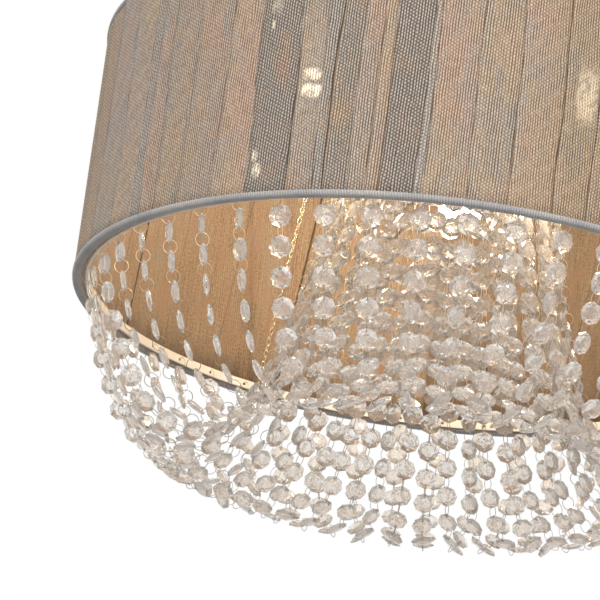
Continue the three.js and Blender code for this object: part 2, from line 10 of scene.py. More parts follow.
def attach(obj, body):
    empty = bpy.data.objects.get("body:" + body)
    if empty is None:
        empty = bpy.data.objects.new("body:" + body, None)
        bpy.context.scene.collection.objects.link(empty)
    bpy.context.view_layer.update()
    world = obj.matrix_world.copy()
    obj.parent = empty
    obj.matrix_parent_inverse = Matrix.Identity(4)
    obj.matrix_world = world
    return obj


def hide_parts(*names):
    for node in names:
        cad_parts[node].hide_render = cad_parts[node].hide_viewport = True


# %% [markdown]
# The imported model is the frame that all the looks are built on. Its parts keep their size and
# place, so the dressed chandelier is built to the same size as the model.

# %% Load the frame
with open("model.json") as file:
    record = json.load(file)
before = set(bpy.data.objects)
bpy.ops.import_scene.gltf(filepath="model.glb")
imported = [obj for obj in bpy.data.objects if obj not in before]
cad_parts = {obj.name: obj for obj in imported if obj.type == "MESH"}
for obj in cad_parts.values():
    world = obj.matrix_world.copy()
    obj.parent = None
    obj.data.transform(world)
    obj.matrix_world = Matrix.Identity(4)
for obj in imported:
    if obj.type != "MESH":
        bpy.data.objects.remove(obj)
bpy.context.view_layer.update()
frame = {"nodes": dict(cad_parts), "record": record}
scene = bpy.context.scene


def in_scene(name, data=None):
    made = bpy.data.objects.new(name, data)
    scene.collection.objects.link(made)
    return made


# %% [markdown]
# The photograph looks up at the shade from below its rim, with a long lens, and leans a little to one
# side. The camera's place, turn and lens were worked out from the shade's two rims and the bead rows.

# %% Camera
camera_lens = bpy.data.cameras.new("camera")
camera_lens.lens = 235.56
camera_lens.sensor_width = 36
camera_lens.clip_end = 50
camera = in_scene("camera", camera_lens)
camera.location = (0, -2.5629, -1.20043)
camera.rotation_euler = [math.radians(turn) for turn in (108.6263, -6.92825, -0.25874)]
scene.camera = camera
scene.view_settings.view_transform = "Standard"

# %% [markdown]
# Soft, plain light: a pale grey world from all round and two broad lamps in front. The white that the
# camera, metal and glass see is a separate, unlit background, so it puts no more light on the shade.

# %% World and lights
world = bpy.data.worlds.new("studio")
world.use_nodes = True
scene.world = world
sky = world.node_tree
sky.nodes.clear()


def sky_node(kind, *sources):
    """A node of the world, with its first sockets linked to the sources."""
    made = sky.nodes.new("ShaderNode" + kind)
    for number, source in enumerate(sources):
        sky.links.new(source, made.inputs[number])
    return made


rays = sky_node("LightPath").outputs
through_glass = sky_node("Math", rays["Is Glossy Ray"], rays["Is Transmission Ray"])
sees_white = sky_node("Math", rays["Is Camera Ray"], through_glass.outputs[0])
for either in (through_glass, sees_white):
    either.operation = "MAXIMUM"
lighting, backdrop = sky_node("Background"), sky_node("Background")
for light, colour, strength in ((lighting, (0.95, 0.97, 1, 1), 0.7), (backdrop, (1, 1, 1, 1), 1)):
    light.inputs["Color"].default_value = colour
    light.inputs["Strength"].default_value = strength
choice = sky_node("MixShader", sees_white.outputs[0], lighting.outputs[0], backdrop.outputs[0])
sky_node("OutputWorld", choice.outputs[0])


def soft_lamp(name, place, aim, size, power):
    data = bpy.data.lights.new(name, "AREA")
    data.shape = "DISK"
    data.size = size
    data.energy = power
    lamp = in_scene(name, data)
    lamp.location = place
    lamp.rotation_euler = (Vector(aim) - Vector(place)).to_track_quat("-Z", "Y").to_euler()


shade_middle = (0, 0, -0.26)
soft_lamp("key", (-0.9, -2.9, 0.3), shade_middle, 1.8, 34)
soft_lamp("fill", (1.6, -2.4, -0.6), shade_middle, 2.2, 20)
print("world nodes", len(sky.nodes), "lamps", len(bpy.data.lights))

# %% [markdown]
# Modelling starts from primitives and spun outlines, so a few helpers come first. Some select, some
# make or finish a mesh, and one ties a finished piece to the body and the node that it stands for.


# %% Modelling helpers
def clear_selection():
    if bpy.context.mode != "OBJECT":
        bpy.ops.object.mode_set(mode="OBJECT")
    bpy.ops.object.select_all(action="DESELECT")


def select_only(piece):
    clear_selection()
    bpy.context.view_layer.objects.active = piece
    piece.select_set(True)


def named(name):
    piece = bpy.context.object
    piece.name = name
    piece.data.name = name
    return piece


def edit(piece, kind, chosen="SELECT"):
    """Enters edit mode on vertices, edges or faces, with all of them or none selected."""
    select_only(piece)
    bpy.ops.object.mode_set(mode="EDIT")
    bpy.ops.mesh.select_mode(type=kind)
    bpy.ops.mesh.select_all(action=chosen)


def edit_faces(piece, chosen):
    """Enters edit mode with the faces selected whose middle and normal are chosen."""
    edit(piece, "FACE")
    shape = bmesh.from_edit_mesh(piece.data)
    for face in shape.faces:
        face.select_set(bool(chosen(face.calc_center_median(), face.normal)))
    bmesh.update_edit_mesh(piece.data)


def object_mode():
    bpy.ops.object.mode_set(mode="OBJECT")


def settle(piece):
    """Moves a piece's place into its mesh."""
    select_only(piece)
    bpy.ops.object.transform_apply(location=True, rotation=True, scale=True)
    piece.select_set(False)
    return piece


def apply_modifier(piece, kind, **settings):
    select_only(piece)
    modifier = piece.modifiers.new(kind.lower(), kind)
    for name, value in settings.items():
        setattr(modifier, name, value)
    bpy.ops.object.modifier_apply(modifier=modifier.name)


def piece_from(name, vertices, faces=(), edges=()):
    mesh = bpy.data.meshes.new(name)
    mesh.from_pydata(vertices, edges, faces)
    return in_scene(name, mesh)


def grid_faces(rows, columns, first=0):
    """The faces of a grid of points that runs row by row from the first point."""
    corners = [first + row * (columns + 1) + column for row in range(rows) for column in range(columns)]
    return [(corner, corner + 1, corner + columns + 2, corner + columns + 1) for corner in corners]


def torus(name, segments, sides, radius, wire):
    clear_selection()
    bpy.ops.mesh.primitive_torus_add(
        major_segments=segments, minor_segments=sides, major_radius=radius, minor_radius=wire
    )
    return named(name)


def smooth(piece):
    piece.data.polygons.foreach_set("use_smooth", [True] * len(piece.data.polygons))
    piece.data.update()


def add_uv(piece, name, places):
    """A UV layer that holds one place for each vertex."""
    layer = piece.data.uv_layers.new(name=name)
    for loop in piece.data.loops:
        layer.data[loop.index].uv = places[loop.vertex_index]


def spun(name, outline, steps, angle=2 * math.pi, closed=True):
    """An outline of radius and height turned round the middle axis."""
    count = len(outline)
    edges = [(number, (number + 1) % count) for number in range(count if closed else count - 1)]
    piece = piece_from(name, [(radius, 0, height) for radius, height in outline], edges=edges)
    edit(piece, "VERT")
    bpy.ops.mesh.spin(steps=steps, angle=angle, center=(0, 0, 0), axis=(0, 0, 1))
    bpy.ops.mesh.select_all(action="SELECT")
    bpy.ops.mesh.remove_doubles(threshold=0.000005)
    bpy.ops.mesh.normals_make_consistent(inside=False)
    object_mode()
    return piece


def limited(value):
    return min(1.0, max(0.0, value))


def around(radius, azimuth, height):
    """A point by its radius, its azimuth in degrees from -Y towards +X, and its height."""
    angle = math.radians(azimuth)
    return Vector((radius * math.sin(angle), -radius * math.cos(angle), height))


def stands_for(piece, node, body="chandelier"):
    """Ties a piece to its body, in place of one of the model's nodes."""
    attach(piece, body)
    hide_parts(node)


# %% [markdown]
# A finish is a material whose numbers are written as sums. Value wraps the output of a node, and each
# operator adds the Math node that does it, so a weave reads as the formula that draws it.


# %% Finishes as sums
class Value:
    def __init__(self, finish, socket):
        self.finish = finish
        self.socket = socket

    def worked(self, operation, first, second):
        return self.finish.node("Math", {"operation": operation}, {0: first, 1: second})

    def __add__(self, other):
        return self.worked("ADD", self, other)

    def __radd__(self, other):
        return self.worked("ADD", other, self)

    def __sub__(self, other):
        return self.worked("SUBTRACT", self, other)

    def __rsub__(self, other):
        return self.worked("SUBTRACT", other, self)

    def __mul__(self, other):
        return self.worked("MULTIPLY", self, other)

    def __pow__(self, other):
        return self.worked("POWER", self, other)


class Finish:
    def __init__(self, name, colour, roughness, **constants):
        self.material = bpy.data.materials.new(name)
        self.material.use_nodes = True
        self.material.diffuse_color = (*colour, 1)
        self.tree = self.material.node_tree
        self.surface = self.tree.nodes["Principled BSDF"]
        self.set("Base Color", (*colour, 1))
        self.set("Roughness", roughness)
        for socket, value in constants.items():
            self.set(socket.replace("_", " "), value)

    def set(self, socket, value):
        """Gives one of the surface's sockets a number, a colour or a worked value."""
        self.fill(self.surface.inputs[socket], value)

    def fill(self, socket, value):
        if isinstance(value, Value):
            self.tree.links.new(value.socket, socket)
        else:
            socket.default_value = value

    def node(self, kind, settings, values, out=0):
        made = self.tree.nodes.new("ShaderNode" + kind)
        for name, value in settings.items():
            if name == "stops":
                self.put_stops(made.color_ramp, value)
            else:
                setattr(made, name, value)
        for socket, value in values.items():
            self.fill(made.inputs[socket], value)
        return Value(self, made.outputs[out])

    def put_stops(self, ramp, stops):
        while len(ramp.elements) < len(stops):
            ramp.elements.new(1)
        for element, (place, colour) in zip(ramp.elements, stops):
            element.position = place
            element.color = (*colour, 1)

    def uv(self, layer):
        return self.node("UVMap", {"uv_map": layer}, {})

    def place(self):
        return self.node("TexCoord", {}, {}, "Object")

    def split(self, vector):
        made = self.node("SeparateXYZ", {}, {0: vector})
        return [Value(self, output) for output in made.socket.node.outputs]

    def combined(self, x, y, z=0.0):
        return self.node("CombineXYZ", {}, {0: x, 1: y, 2: z})

    def noise(self, vector, scale, detail=2.0, roughness=0.5, distortion=0.0):
        sizes = {"Vector": vector, "Scale": scale, "Detail": detail}
        return self.node("TexNoise", {}, {**sizes, "Roughness": roughness, "Distortion": distortion})

    def streaks(self, x, y, z=0.0, detail=2.0, roughness=0.5, distortion=0.0):
        """Noise whose coordinates are already scaled, each by its own amount."""
        return self.noise(self.combined(x, y, z), 1.0, detail, roughness, distortion)

    def wave(self, value, period):
        """From 0 to 1 and back once each period."""
        sine = self.node("Math", {"operation": "SINE"}, {0: value * (2 * math.pi / period)})
        return sine * 0.5 + 0.5

    def between(self, value, low, high, start=0.0, end=1.0):
        """Runs from start to end while the value goes from low to high."""
        limits = {"Value": value, 1: low, 2: high, 3: start, 4: end}
        return self.node("MapRange", {"interpolation_type": "SMOOTHSTEP"}, limits)

    def mixed(self, share, first, second):
        first, second = ((*c, 1) if isinstance(c, tuple) else c for c in (first, second))
        return self.node("Mix", {"data_type": "RGBA"}, {0: share, 6: first, 7: second}, 2)

    def shaded(self, colour, amount):
        """A colour, worked or plain, times a number."""
        return self.node("VectorMath", {"operation": "SCALE"}, {0: colour, "Scale": amount})

    def own(self):
        """A number from 0 to 1, another for each loose part of the mesh."""
        return self.node("NewGeometry", {}, {}, "Random Per Island")

    def bump(self, height, distance, strength=1.0):
        values = {"Height": height, "Distance": distance, "Strength": strength}
        self.set("Normal", self.node("Bump", {}, values))

    def put_on(self, *pieces):
        for piece in pieces:
            piece.data.materials.clear()
            piece.data.materials.append(self.material)


# %% [markdown]
# The shade's sizes in metres, as the model has them: the wall is two layers of stretched thread with
# the rings and struts between them, and the bindings close it above and below.

# %% Sizes of the shade
shade_top, shade_bottom = -0.170, -0.351
shade_radius = 0.250
panel_outer, panel_inner = 0.2494, 0.2481
lining_radius = 0.2446
wall_top, wall_bottom = shade_top - 0.0016, shade_bottom + 0.0016
wall_height = wall_top - wall_bottom

# %% [markdown]
# The outer layer is string cloth, torn into strips that are stretched from ring to ring, each lapped
# over the edge of the next. The strips are built one by one as thin curved sheets, with edges that
# wander a little, because the dark slits and the steps at their edges are what the eye sees first.
# The finish paints the slits in as dark lines of shade. Those at the front have the edges of the
# photograph, and the others a seeded random width.

# %% Strips at the front
front_strips = [
    # left edge in degrees, warmth, contrast, dark slit: strength, from and to which share of the height
    (-69.2, 0.35, 0.25, 0.9, 0.42, 0.56), (-62.0, 0.60, 0.20, 0, 0, 0), (-55.6, 0.10, 0.45, 0, 0, 0),
    (-53.4, 0.75, 0.35, 0, 0, 0), (-50.0, 0.60, 0.40, 0, 0, 0), (-44.0, 0.65, 0.40, 0, 0, 0),
    (-37.4, 0.85, 0.30, 0.4, 0.05, 0.47), (-31.6, 0.10, 0.90, 0, 0, 0), (-25.0, 0.55, 0.50, 1.0, 0.02, 0.52),
    (-20.4, 0.15, 0.60, 0, 0, 0), (-18.6, 0.25, 0.80, 1.4, 0.05, 0.76), (-14.9, 0.60, 0.50, 0, 0, 0),
    (-12.0, 0.75, 0.50, 0.5, 0.10, 0.65), (-10.4, 0.00, 1.00, 0.6, 0.05, 0.60), (-5.0, 0.20, 0.50, 0, 0, 0),
    (-4.0, 0.70, 0.40, 0.2, 0.15, 0.75), (2.6, 0.60, 0.45, 0.2, 0.3, 0.8), (8.8, 0.75, 0.40, 0.4, 0.1, 0.4),
    (15.2, 0.55, 0.50, 0.7, 0.05, 0.85), (21.1, 0.50, 0.60, 0.2, 0.1, 0.5),
]
strip_widths = (2.2, 3.6, 4.8, 5.8, 6.6)
widest_strip = 8
rng = random.Random(7)
strips = list(front_strips)
while strips[-1][0] < 360 + front_strips[0][0] - widest_strip:
    warmth, slit, low = rng.random(), rng.random(), rng.uniform(0.02, 0.4)
    edge = strips[-1][0] + rng.choice(strip_widths) + rng.uniform(-0.4, 0.4)
    slit = max(0, 2.6 * slit - 1.5)
    strips.append((edge, warmth, 0.95 - 0.6 * warmth, slit, low, low + rng.uniform(0.15, 0.5)))
strip_count = len(strips)
print("strips", strip_count)


# %% Outer strips
strip_columns, strip_rows = 8, 18
lap_share_of_width, least_lap = 0.16, 0.9  # the lap in degrees is this share of the width, and this more
slit_fade = 0.08
belly = 0.00025
uneven = 0.0002
cloth_thickness = 0.0003
other_edge = 1000  # sets the seeds of the right edges apart from those of the left ones


def wander(seed, share):
    """How far an edge strays, in degrees, at a share of the height."""
    wave = random.Random(seed)
    first, second, third = (wave.uniform(0, 2 * math.pi) for _ in range(3))
    slow = math.sin(first + 2.6 * share) + 0.6 * math.sin(second + 6.1 * share)
    return 0.28 * slow + 0.1 * math.sin(third + 14 * share)


def fading(value, low, high, soft):
    """1 between low and high, falling to 0 over the soft width outside."""
    return limited(1 - max(low - value, value - high) / soft)


def outer_strips():
    vertices, faces, places, shares, cloths = [], [], [], [], []
    flat_width = 0
    for strip, (left, warmth, contrast, slit, slit_low, slit_high) in enumerate(strips):
        right = strips[strip + 1][0] if strip + 1 < strip_count else 360 + strips[0][0]
        under = (right - left) * lap_share_of_width + least_lap
        flat_width += math.radians(right + under - left) * shade_radius
        sag = rng.uniform(-uneven, uneven)
        faces += grid_faces(strip_rows, strip_columns, len(vertices))
        for row in range(strip_rows + 1):
            up = row / strip_rows
            low = left + wander(strip, up)
            high = right + under + wander(strip + other_edge, up)
            opened = slit * fading(up, slit_low, slit_high, slit_fade)
            for column in range(strip_columns + 1):
                across = column / strip_columns
                azimuth = low + (high - low) * across
                lift = belly * math.sin(math.pi * across) * math.sin(math.pi * up)
                radius = panel_outer - (panel_outer - panel_inner) * across ** 0.8 + lift + sag
                vertices.append(around(radius, azimuth, wall_bottom + up * wall_height))
                places.append((math.radians(azimuth) * shade_radius, up * wall_height))
                shares.append(((azimuth - low) / 10, up))
                cloths.append((warmth, contrast, opened))
    piece = piece_from("thread_strips", vertices, faces)
    add_uv(piece, "wall", places)
    add_uv(piece, "strip", shares)
    cloth = piece.data.attributes.new("cloth", "FLOAT_VECTOR", "POINT")
    for number, values in enumerate(cloths):
        cloth.data[number].vector = values
    smooth(piece)
    apply_modifier(piece, "SOLIDIFY", thickness=cloth_thickness, offset=-1)
    return piece, flat_width


thread_strips, strips_width = outer_strips()
stands_for(thread_strips, "thread_panels")
print("outer strips, metres of cloth", round(strips_width, 3))

# %% [markdown]
# String cloth is a fine lattice: cords up and down, tied by finer ones across. One layer lets the warm
# light inside through, so it looks tan, and where two strips lap it looks grey. The finish paints this
# light into the cloth's colour: each strip has its own warmth, and the laps are painted greyer and a
# little lighter. The finish draws the lattice from two waves, turns it a little on each strip, and
# beats it against a second lattice below, which gives the watered look. Where a lamp stands close
# behind, its light between the cords is painted in as a glow, with a painted warm tint beside it.

# %% Outer thread finish
dot_pitch, dot_shift = 0.00241, 0.42
lamp_turn = math.radians(120) * shade_radius
# painted glows of the lamps behind the cloth
lamp_glows = [
    # azimuth, height, half width, half height, strength
    (-22.4, -0.2676, 0.0067, 0.0042, 0.8), (-22.2, -0.2788, 0.0071, 0.0048, 1.1),
    (-22.3, -0.275, 0.0095, 0.045, 0.07), (19.0, -0.263, 0.0080, 0.021, 0.36),
    (-30.2, -0.322, 0.0024, 0.0042, 0.5), (-29.6, -0.332, 0.0032, 0.0050, 0.6),
    (-29.6, -0.217, 0.0045, 0.0070, 0.2), (-29.9, -0.231, 0.0016, 0.0030, 0.4),
]


def lattice(finish, across, up, slant, own):
    """Cords up and down with light dots along them, and a second layer showing between."""
    rate = own * 45 + 525
    wobble = finish.streaks(across * 130, up * 60, own * 11, 1.0) * 0.0022
    turns = (across + up * slant + wobble) * rate
    column = finish.node("Math", {"operation": "FLOOR"}, {0: turns})
    dots = finish.wave(up * (1 / dot_pitch) + column * dot_shift + own * 7, 1.0)
    cords = finish.wave(turns + 0.75, 1.0)
    behind = finish.wave((across - up * (slant + 0.03)) * rate * 1.12 + own * 9, 1.0)
    upper = cords * (dots * 0.68 + 0.32)
    return upper + (1 - upper) * behind * 0.4, cords


def glow_shares(finish, folded, up):
    """How much painted lamplight shows at each place."""
    total = None
    for azimuth, height, half_width, half_height, strength in lamp_glows:
        far = (folded - math.radians(azimuth) * shade_radius) * (1 / half_width)
        high = (up - (height - wall_bottom)) * (1 / half_height)
        near = finish.between(far * far * far * far + high * high, 0.0, 1.5, strength, 0.0)
        total = near if total is None else total + near
    return total


outer = Finish("outer_thread", (0.37, 0.30, 0.24), 0.86, Sheen_Weight=0.05, Sheen_Roughness=0.5)
across, up, _ = outer.split(outer.uv("wall"))
lap_share, _, _ = outer.split(outer.uv("strip"))
strip_values = outer.node("Attribute", {"attribute_name": "cloth"}, {}, "Vector")
warmth, contrast, slit = outer.split(strip_values)
own = outer.own()
slant = (own - 0.5) * 0.1
weave, cords = lattice(outer, across, up, slant, own)
blotches = outer.streaks(across * 90, up * 38, own * 20, 3.0, 0.6, 0.8)
fibres = outer.streaks(across * 620, up * 300, own * 5, 2.0, 0.7)
# painted light at the laps: where two layers lie, the cloth is painted greyer and a little lighter
lapped = outer.between(lap_share, 0.16, 0.02)
drifts = outer.streaks(across * 26, up * 14, own * 3, 2.0)
warm_share = warmth + (blotches - 0.5) * (contrast * 1.8 + 1.1) + (drifts - 0.5) * 1.4 - lapped * 0.14
warm_share = outer.between(warm_share, -0.1, 1.1)
hue = outer.streaks(across * 24, up * 9, own * 9 + 4, 1.0)
hue = outer.between(hue, 0.35, 0.65)
cool = outer.mixed(hue, (0.63, 0.56, 0.48), (0.67, 0.58, 0.50))
warm = outer.mixed(hue, (0.76, 0.57, 0.39), (0.78, 0.53, 0.39))
cloth = outer.mixed(warm_share, cool, warm)
# The painted lamplight on the cloth is the same in front of each of the three lamps
folded = outer.node("Math", {"operation": "WRAP"}, {0: across, 1: lamp_turn / 2, 2: -lamp_turn / 2})
# a warm tint painted on the cloth beside each lamp, where its light comes through
painted_lamplight_tint = outer.between(folded, 0.030, 0.080) * outer.between(folded, 0.24, 0.17)
cloth = outer.mixed(painted_lamplight_tint * 0.6, cloth, (0.68, 0.50, 0.30))
gaps = outer.mixed(warm_share, (0.115, 0.085, 0.062), (0.19, 0.12, 0.07))
seen = 1 - (1 - weave) * (contrast * 0.5 + 0.8)
lit = outer.mixed(outer.between(seen, 0.0, 1.0), gaps, cloth)
fringe = outer.between(lap_share - slit * 0.030, 0.010, -0.010)
fringe = fringe * outer.between(slit, 0.05, 0.5)
lit = outer.mixed(fringe * 0.55, lit, (0.42, 0.25, 0.12))
# painted shade: a dark line where a slit opens at a strip's edge
painted_slit_shade = outer.between(lap_share - slit * 0.014, 0.006, -0.006)
painted_slit_shade = painted_slit_shade * outer.between(slit, 0.02, 0.2)
lit = outer.mixed(painted_slit_shade * 0.92, lit, (0.035, 0.022, 0.014))
selvedge = outer.between(lap_share, 0.05, 0.02)
tone = (fibres * 1.1 + 0.47) * (1 + lapped * 0.10 + selvedge * 0.06)
outer.set("Base Color", outer.shaded(lit, tone))
# painted lamplight: the cloth glows in stripes between its cords where a lamp stands behind
glow = glow_shares(outer, folded, up)
specks = outer.streaks(across * 300, up * 210, 1.7, 1.0)
specks = outer.between(specks, 0.36, 0.56, 0.2, 1.0)
stripes = outer.between(cords, 0.75, 0.1)
shining = glow * stripes * specks * 2.0 + glow * 0.12
outer.set("Emission Color", outer.shaded((1.0, 0.84, 0.58), shining))
outer.set("Emission Strength", 1.0)
outer.bump(weave, 0.0002, 0.7)
outer.put_on(thread_strips)

# %% [markdown]
# The lining is the same idea in finer thread, golden brown, wound straight up and down with hardly a
# gap. It is one curved sheet with its seams drawn in the finish, since nothing stands proud of it.

# %% Lining sheet
lining_thickness = 0.0005


def lining_sheet():
    columns, rows = 360, 6
    vertices, places = [], []
    for row in range(rows + 1):
        for column in range(columns + 1):
            azimuth = -180 + 360 * column / columns
            height = row / rows * wall_height
            vertices.append(around(lining_radius, azimuth, wall_bottom + height))
            places.append((math.radians(azimuth) * lining_radius, height))
    faces = [(face[0], *face[:0:-1]) for face in grid_faces(rows, columns)]  # these face inwards
    piece = piece_from("lining_sheet", vertices, faces)
    add_uv(piece, "wall", places)
    smooth(piece)
    apply_modifier(piece, "SOLIDIFY", thickness=lining_thickness, offset=-1)
    return piece


lining = lining_sheet()
stands_for(lining, "lining_threads")

# %% Lining finish
inner = Finish("lining_thread", (0.44, 0.28, 0.15), 0.8, Sheen_Weight=0.15, Sheen_Roughness=0.4)
across, up, _ = inner.split(inner.uv("wall"))
lean = inner.streaks(across * 9, up * 1.2, detail=1.0)
leaning = across + up * (lean - 0.5) * 0.12
strands = inner.streaks(leaning * 760, up * 40, detail=3.0, roughness=0.6)
crosswise = inner.streaks(leaning * 420, up * 620, detail=2.0)
broad = inner.streaks(leaning * 70, up * 6, detail=2.0)
greyed = inner.streaks(across * 40, up * 22, detail=2.0)
ribs = inner.wave(leaning, 0.0019)
tone = strands * 0.50 + ribs * 0.10 + broad * 0.22 + crosswise * 0.55 - 0.15
colour = inner.node("ValToRGB", {"stops": [
    (0.30, (0.13, 0.070, 0.032)), (0.46, (0.27, 0.175, 0.100)), (0.64, (0.37, 0.270, 0.175)),
    (0.88, (0.56, 0.45, 0.33)),
]}, {0: tone})
greyed = inner.between(greyed, 0.45, 0.75, 0.0, 0.5)
colour = inner.mixed(greyed, colour, (0.29, 0.24, 0.18))
reddened = inner.streaks(leaning * 62, up * 30, 3.0, 2.0)
reddened = inner.between(reddened, 0.45, 0.70, 0.0, 0.55)
colour = inner.mixed(reddened, colour, (0.36, 0.215, 0.13))
slanting = across + up * 0.115
wide_seam = inner.wave(slanting + 0.4993 - 0.1536 / 4, 0.1536)
fine_seam = inner.wave(slanting + (lean - 0.5) * 0.04 + 0.543 - 0.0605 / 4, 0.0605)
wide_seam = inner.between(wide_seam, 0.0, 0.0006, 0.85, 0.0)
fine_seam = inner.between(fine_seam, 0.0, 0.0012, 0.35, 0.0)
dimmer = inner.between(across, 0.33, 0.45, 0.0, 0.34)  # far from the photograph's lamps
inner.set("Base Color", inner.shaded(colour, (1 - (wide_seam + fine_seam)) * (0.85 - dimmer)))
inner.bump(ribs * 0.6 + strands * 0.4, 0.0003, 0.6)
inner.put_on(lining)

# %% [markdown]
# Each ring is bound over and over with the same grey thread. The roll's outline is spun over a
# thirtieth of the circle in fine steps and repeated round the shade. Then grooves are pressed in
# between the turns of the thread, so they are real ridges that catch the light.

# %% Bindings
turns_of_thread = 870
steps_each = 4
sector_count = 30
roll_middle_radius, roll_middle_rise = 0.2465, 0.0024
groove_depth = 0.00011
least_span = 0.001
roll_outline = [
    (0.24330, 0.0040), (0.24320, 0.0022), (0.24340, 0.0009), (0.24410, 0.0001), (0.24600, -0.0001),
    (0.24800, 0.0000), (0.24915, 0.0005), (0.24980, 0.0014), (0.25000, 0.0025), (0.24970, 0.0036),
    (0.24870, 0.0041), (0.24420, 0.0041),
]


def binding(name, edge_height, inwards):
    outline = [(radius, edge_height + inwards * rise) for radius, rise in roll_outline]
    sector_angle = 2 * math.pi / sector_count
    sector = spun(name, outline, turns_of_thread * steps_each // sector_count, sector_angle)
    turn = in_scene("turn")
    turn.rotation_euler.z = sector_angle
    apply_modifier(
        sector, "ARRAY", count=sector_count, use_relative_offset=False, use_object_offset=True,
        offset_object=turn, use_merge_vertices=True, use_merge_vertices_cap=True, merge_threshold=0.00001,
    )
    bpy.data.objects.remove(turn)
    press_turns(sector, edge_height + inwards * roll_middle_rise)
    smooth(sector)
    return sector


def press_turns(piece, middle_height):
    """Presses grooves between the turns, which lean as wound thread does."""
    places = []
    for vertex in piece.data.vertices:
        x, y, z = vertex.co
        angle = math.atan2(y, x)
        outward, upward = math.hypot(x, y) - roll_middle_radius, z - middle_height
        round_roll = math.atan2(upward, outward)
        phase = angle * turns_of_thread + round_roll
        press = groove_depth * (0.5 - 0.5 * math.cos(phase))
        scale = 1 - press / max(math.hypot(outward, upward), least_span)
        radius = roll_middle_radius + outward * scale
        vertex.co = (math.cos(angle) * radius, math.sin(angle) * radius, middle_height + upward * scale)
        places.append((phase / (2 * math.pi), round_roll))
    add_uv(piece, "wound", places)


bindings = [binding("bottom_roll", shade_bottom, 1), binding("top_roll", shade_top, -1)]
for piece, node in zip(bindings, ("bottom_binding", "top_binding")):
    stands_for(piece, node)
print("binding faces", len(bindings[0].data.polygons))

# %% Binding finish
sheen = {"Sheen_Weight": 0.3, "Sheen_Roughness": 0.5}
bound = Finish("binding_thread", (0.40, 0.375, 0.35), 0.8, **sheen)
tints = bound.noise(bound.place(), 38.0, 2.0)
base = bound.node("ValToRGB", {"stops": [
    (0.3, (0.43, 0.415, 0.41)), (0.5, (0.51, 0.48, 0.455)), (0.7, (0.57, 0.525, 0.485)),
]}, {0: tints})
turn_share, _, _ = bound.split(bound.uv("wound"))
hairs = bound.noise(bound.place(), 700.0, 2.0, 0.7)
# painted light and shade that follow the turns of thread round the roll
painted_turn_shade = bound.wave(turn_share + 0.75, 1.0)
tone = (painted_turn_shade * 0.42 + 0.72) * (hairs * 0.9 + 0.57)
bound.set("Base Color", bound.shaded(base, tone))
bound.bump(bound.noise(bound.place(), 2600.0, 2.0), 0.0001, 0.5)
bound.put_on(*bindings)

# %% [markdown]
# The loops hang from a flat cream-gold band inside the rim. Its outline is spun round, and a hole is
# cut for each loop's hook ring with one boolean of 48 small pegs.

# %% Rim band
loop_count = 48
band_bottom, band_top, flange_top = -0.349, -0.343, -0.3481
band_inner, band_outer, flange_outer = 0.2388, 0.2397, 0.2428
hook_height, hook_hole, peg_length = -0.3464, 0.0011, 0.004
loop_azimuths = [360 / loop_count * (loop + 0.5) for loop in range(loop_count)]
band_outline = [
    (band_inner, band_bottom), (flange_outer, band_bottom), (flange_outer, flange_top),
    (band_outer, flange_top), (band_outer, band_top), (band_inner, band_top),
]
steps_to_a_loop = 8
rim_band = spun("rim_band", band_outline, steps_to_a_loop * loop_count)
hook_pegs = []
for azimuth in loop_azimuths:
    clear_selection()
    middle = around((band_inner + band_outer) / 2, azimuth, hook_height)
    turn = Vector((middle.x, middle.y, 0)).to_track_quat("Z", "Y").to_euler()
    bpy.ops.mesh.primitive_cylinder_add(
        vertices=8, radius=hook_hole, depth=peg_length, location=middle, rotation=turn
    )
    hook_pegs.append(bpy.context.object)
clear_selection()
for peg in hook_pegs:
    peg.select_set(True)
bpy.context.view_layer.objects.active = hook_pegs[0]
bpy.ops.object.join()
pegs = bpy.context.object
apply_modifier(rim_band, "BOOLEAN", object=pegs, operation="DIFFERENCE", solver="EXACT")
bpy.data.objects.remove(pegs)
stands_for(rim_band, "crystal_band")
print("band faces", len(rim_band.data.polygons))

# %% [markdown]
# Each loop hangs in a catenary, the curve of a chain held at its two ends. The same formula as the
# model's gives the place of every crystal, so the dressed loops hang where the solid ones do.

# %% The hanging curve
bead_size, bead_gap = 0.014, 0.00573
bead_count, outer_bead_count = 22, 7
end_link = 0.0036
bead_pitch = bead_size + bead_gap
loop_length = bead_count * bead_pitch - bead_gap + 2 * end_link
loop_start, loop_end = (0.2384, -0.3487), (0.066, -0.2005)
widest_guess, halving_count = 40, 60


def hanging_curve(start, end, length):
    across = start[0] - end[0]
    rise = end[1] - start[1]
    chord = math.sqrt(length * length - rise * rise)
    low, high = across / widest_guess, across * widest_guess
    for _ in range(halving_count):
        middle = (low + high) / 2
        if 2 * middle * math.sinh(across / (2 * middle)) > chord:
            low = middle
        else:
            high = middle
    scale = (low + high) / 2
    begin = -(across / (2 * scale)) + math.atanh(rise / length)
    lowest_radius = start[0] + begin * scale
    lowest_height = start[1] - scale * (math.cosh(begin) - 1)

    def at(distance):
        share = math.asinh(math.sinh(begin) + distance / scale)
        slope = math.sinh(share)
        steep = math.sqrt(1 + slope * slope)
        place = (lowest_radius - scale * share, lowest_height + scale * (math.cosh(share) - 1))
        return place, (1 / steep, slope / steep)

    return at


loop_at = hanging_curve(loop_start, loop_end, loop_length)

# %% [markdown]
# The crystals are octagons, 14 mm across, cut with a flat table and turned facets on each face, and
# drilled near two opposite corners. One is modelled: an eight-sided disc whose faces are extruded,
# shrunk and turned, with the holes cut by a boolean. It has a few dozen faces, because the light
# holds more than a thousand copies.

# %% One crystal
hole_reach = 0.0052
girdle_height, crown_height, table_share, point_height = 0.0010, 0.0013, 0.56, 0.0003
hole_radius, drill_length = 0.0009, 0.01


